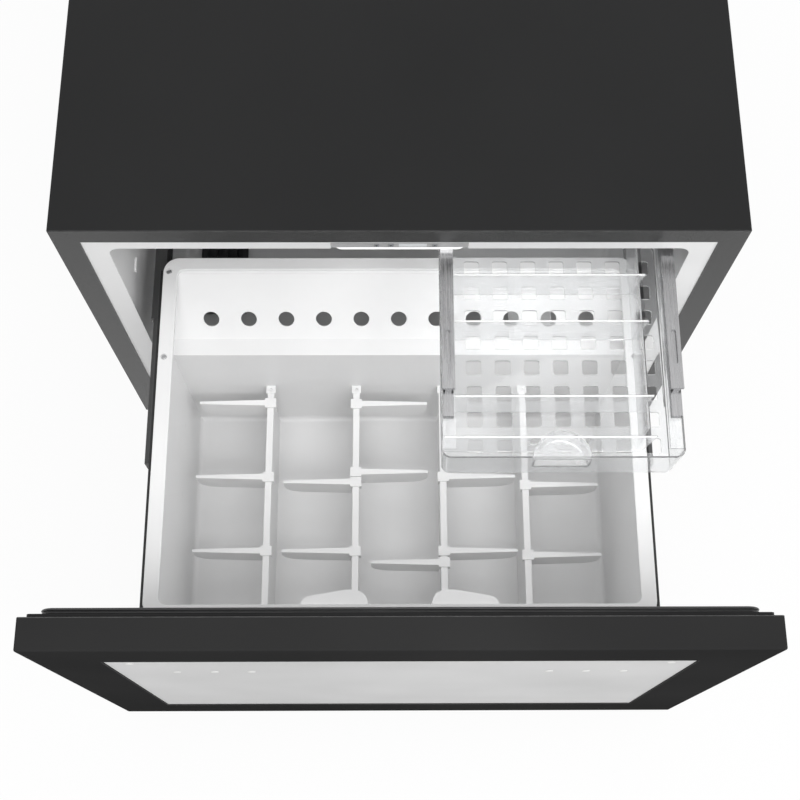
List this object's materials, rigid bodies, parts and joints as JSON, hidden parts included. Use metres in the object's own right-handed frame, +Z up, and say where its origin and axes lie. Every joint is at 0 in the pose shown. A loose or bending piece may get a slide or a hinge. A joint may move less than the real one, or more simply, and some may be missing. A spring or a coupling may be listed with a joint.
{
  "type": "single drawer built-in refrigerator",
  "caption": "Black built-in refrigerator with one full-width drawer drawn out, a white divided bin and a clear perforated tray on its own slides.",
  "frame": {"origin": "on the floor under the middle of the whole object as drawn, drawer and tray out", "axes": "+X to the right seen from the front, +Y from the drawer front into the cabinet, +Z up"},
  "size_m": [0.864, 1.093, 0.655],
  "materials": {
    "black_coated_steel": "fine-textured powder coat",
    "black_coated_aluminium": "fine-textured powder coat",
    "black_plastic": "satin moulded",
    "grey_panel": "fine grain, satin",
    "white_plastic": "satin moulded",
    "clear_plastic": "clear, polished",
    "insulation": "rigid foam",
    "gasket_rubber": "soft, satin",
    "black_slide_steel": "black, satin",
    "bright_steel": "zinc plated",
    "galvanised_steel": "galvanised",
    "aluminium_fins": "mill",
    "black_enamel": "gloss enamel",
    "copper": "drawn tube",
    "grey_plastic": "moulded",
    "dark_vent_plastic": "moulded",
    "display_glass": "polished",
    "diffuser_plastic": "frosted",
    "foot_plastic": "moulded",
    "screw_steel": "plated"
  },
  "bodies": {
    "cabinet": {"outer_wrapper": "black_coated_steel", "front_frame": "black_coated_aluminium", "inner_liner": "white_plastic", "insulation_foam": "insulation", "base_plate": "galvanised_steel", "compressor_tray": "galvanised_steel", "back_panel": "galvanised_steel", "rear_grille": "galvanised_steel", "back_panel_screws": "screw_steel", "levelling_feet": "foot_plastic", "air_cover": "white_plastic", "evaporator_coil": "aluminium_fins", "evaporator_fan_housing": "grey_plastic", "floor_vent": "dark_vent_plastic", "control_panel": "grey_plastic", "display_window": "display_glass", "light_diffuser": "diffuser_plastic", "slide_rails": "black_slide_steel", "tray_rails": "bright_steel", "compressor": "black_enamel", "compressor_grommets": "gasket_rubber", "drip_pan": "black_plastic", "condenser_coil": "black_enamel", "condenser_fan_housing": "grey_plastic", "filter_dryer": "copper", "refrigerant_pipes": "copper", "power_inlet": "black_plastic"},
    "drawer": {"slide_arms": "black_slide_steel", "door_frame": "black_coated_aluminium", "door_front_sheet": "grey_panel", "panel_hole_plugs": "white_plastic", "door_foam": "insulation", "inner_door": "black_plastic", "door_gasket": "gasket_rubber", "bin_shell": "white_plastic", "bin_trim": "white_plastic", "trim_screw_heads": "screw_steel", "divider_walls": "white_plastic"},
    "slide_middle": {"slide_middles": "black_slide_steel"},
    "tray_runner": {"tray_runners": "bright_steel"},
    "tray": {"clear_tray": "clear_plastic", "tray_partitions": "clear_plastic"},
    "light_button": {"light_button": "grey_plastic"},
    "lower_button": {"lower_button": "grey_plastic"},
    "raise_button": {"raise_button": "grey_plastic"},
    "evaporator_fan": {"evaporator_fan": "grey_plastic"},
    "condenser_fan": {"condenser_fan": "grey_plastic"},
    "fin_1_1": {"fin_1_1": "white_plastic"},
    "fin_1_2": {"fin_1_2": "white_plastic"},
    "fin_1_3": {"fin_1_3": "white_plastic"},
    "fin_2_1": {"fin_2_1": "white_plastic"},
    "fin_2_2": {"fin_2_2": "white_plastic"},
    "fin_2_3": {"fin_2_3": "white_plastic"},
    "fin_2_4": {"fin_2_4": "white_plastic"},
    "fin_3_1": {"fin_3_1": "white_plastic"},
    "fin_3_2": {"fin_3_2": "white_plastic"},
    "fin_3_3": {"fin_3_3": "white_plastic"},
    "fin_4_1": {"fin_4_1": "white_plastic"},
    "fin_4_2": {"fin_4_2": "white_plastic"}
  },
  "joints": [
    {"name": "drawer_slide", "type": "slide", "parent": "cabinet", "child": "drawer", "axis": [0, 1, 0], "range_m": [0, 0.4547]},
    {"name": "slide_middle_slide", "type": "slide", "parent": "cabinet", "child": "slide_middle", "axis": [0, 1, 0], "range_m": [0, 0.2274]},
    {"name": "tray_runner_slide", "type": "slide", "parent": "cabinet", "child": "tray_runner", "axis": [0, 1, 0], "range_m": [0, 0.273]},
    {"name": "tray_slide", "type": "slide", "parent": "tray_runner", "child": "tray", "axis": [0, 1, 0], "range_m": [0, 0.12]},
    {"name": "light_button_press", "type": "slide", "parent": "cabinet", "child": "light_button", "axis": [0, 1, 0], "range_m": [0, 0.0008], "stiffness_N_per_m": 800},
    {"name": "lower_button_press", "type": "slide", "parent": "cabinet", "child": "lower_button", "axis": [0, 1, 0], "range_m": [0, 0.0008], "stiffness_N_per_m": 800},
    {"name": "raise_button_press", "type": "slide", "parent": "cabinet", "child": "raise_button", "axis": [0, 1, 0], "range_m": [0, 0.0008], "stiffness_N_per_m": 800},
    {"name": "evaporator_fan_spin", "type": "hinge", "parent": "cabinet", "child": "evaporator_fan", "pos_m": [0.262, 0.5105, 0.537], "axis": [0, -1, 0], "continuous": true},
    {"name": "condenser_fan_spin", "type": "hinge", "parent": "cabinet", "child": "condenser_fan", "pos_m": [-0.06, 0.48175, 0.1015], "axis": [-1, 0, 0], "continuous": true},
    {"name": "fin_1_1_slide", "type": "slide", "parent": "drawer", "child": "fin_1_1", "axis": [0, 1, 0], "range_m": [-0.05105, 0.008]},
    {"name": "fin_1_2_slide", "type": "slide", "parent": "drawer", "child": "fin_1_2", "axis": [0, 1, 0], "range_m": [-0.0488, 0.05105]},
    {"name": "fin_1_3_slide", "type": "slide", "parent": "drawer", "child": "fin_1_3", "axis": [0, 1, 0], "range_m": [-0.1107, 0.0488]},
    {"name": "fin_2_1_slide", "type": "slide", "parent": "drawer", "child": "fin_2_1", "axis": [0, 1, 0], "range_m": [-0.04655, 0.0095]},
    {"name": "fin_2_2_slide", "type": "slide", "parent": "drawer", "child": "fin_2_2", "axis": [0, 1, 0], "range_m": [-0.0003, 0.04655]},
    {"name": "fin_2_3_slide", "type": "slide", "parent": "drawer", "child": "fin_2_3", "axis": [0, 1, 0], "range_m": [-0.04505, 0.0003]},
    {"name": "fin_2_4_slide", "type": "slide", "parent": "drawer", "child": "fin_2_4", "axis": [0, 1, 0], "range_m": [-0.1102, 0.04505]},
    {"name": "fin_3_1_slide", "type": "slide", "parent": "drawer", "child": "fin_3_1", "axis": [0, 1, 0], "range_m": [-0.04905, 0.125]},
    {"name": "fin_3_2_slide", "type": "slide", "parent": "drawer", "child": "fin_3_2", "axis": [0, 1, 0], "range_m": [-0.00105, 0.04905]},
    {"name": "fin_3_3_slide", "type": "slide", "parent": "drawer", "child": "fin_3_3", "axis": [0, 1, 0], "range_m": [-0.0932, 0.00105]},
    {"name": "fin_4_1_slide", "type": "slide", "parent": "drawer", "child": "fin_4_1", "axis": [0, 1, 0], "range_m": [-0.0458, 0.138]},
    {"name": "fin_4_2_slide", "type": "slide", "parent": "drawer", "child": "fin_4_2", "axis": [0, 1, 0], "range_m": [-0.1037, 0.0458]}
  ],
  "couplings": [
    {"joint": "slide_middle_slide", "follows": "drawer_slide", "ratio": 0.5},
    {"joint": "tray_runner_slide", "follows": "drawer_slide", "ratio": 0.6}
  ]
}
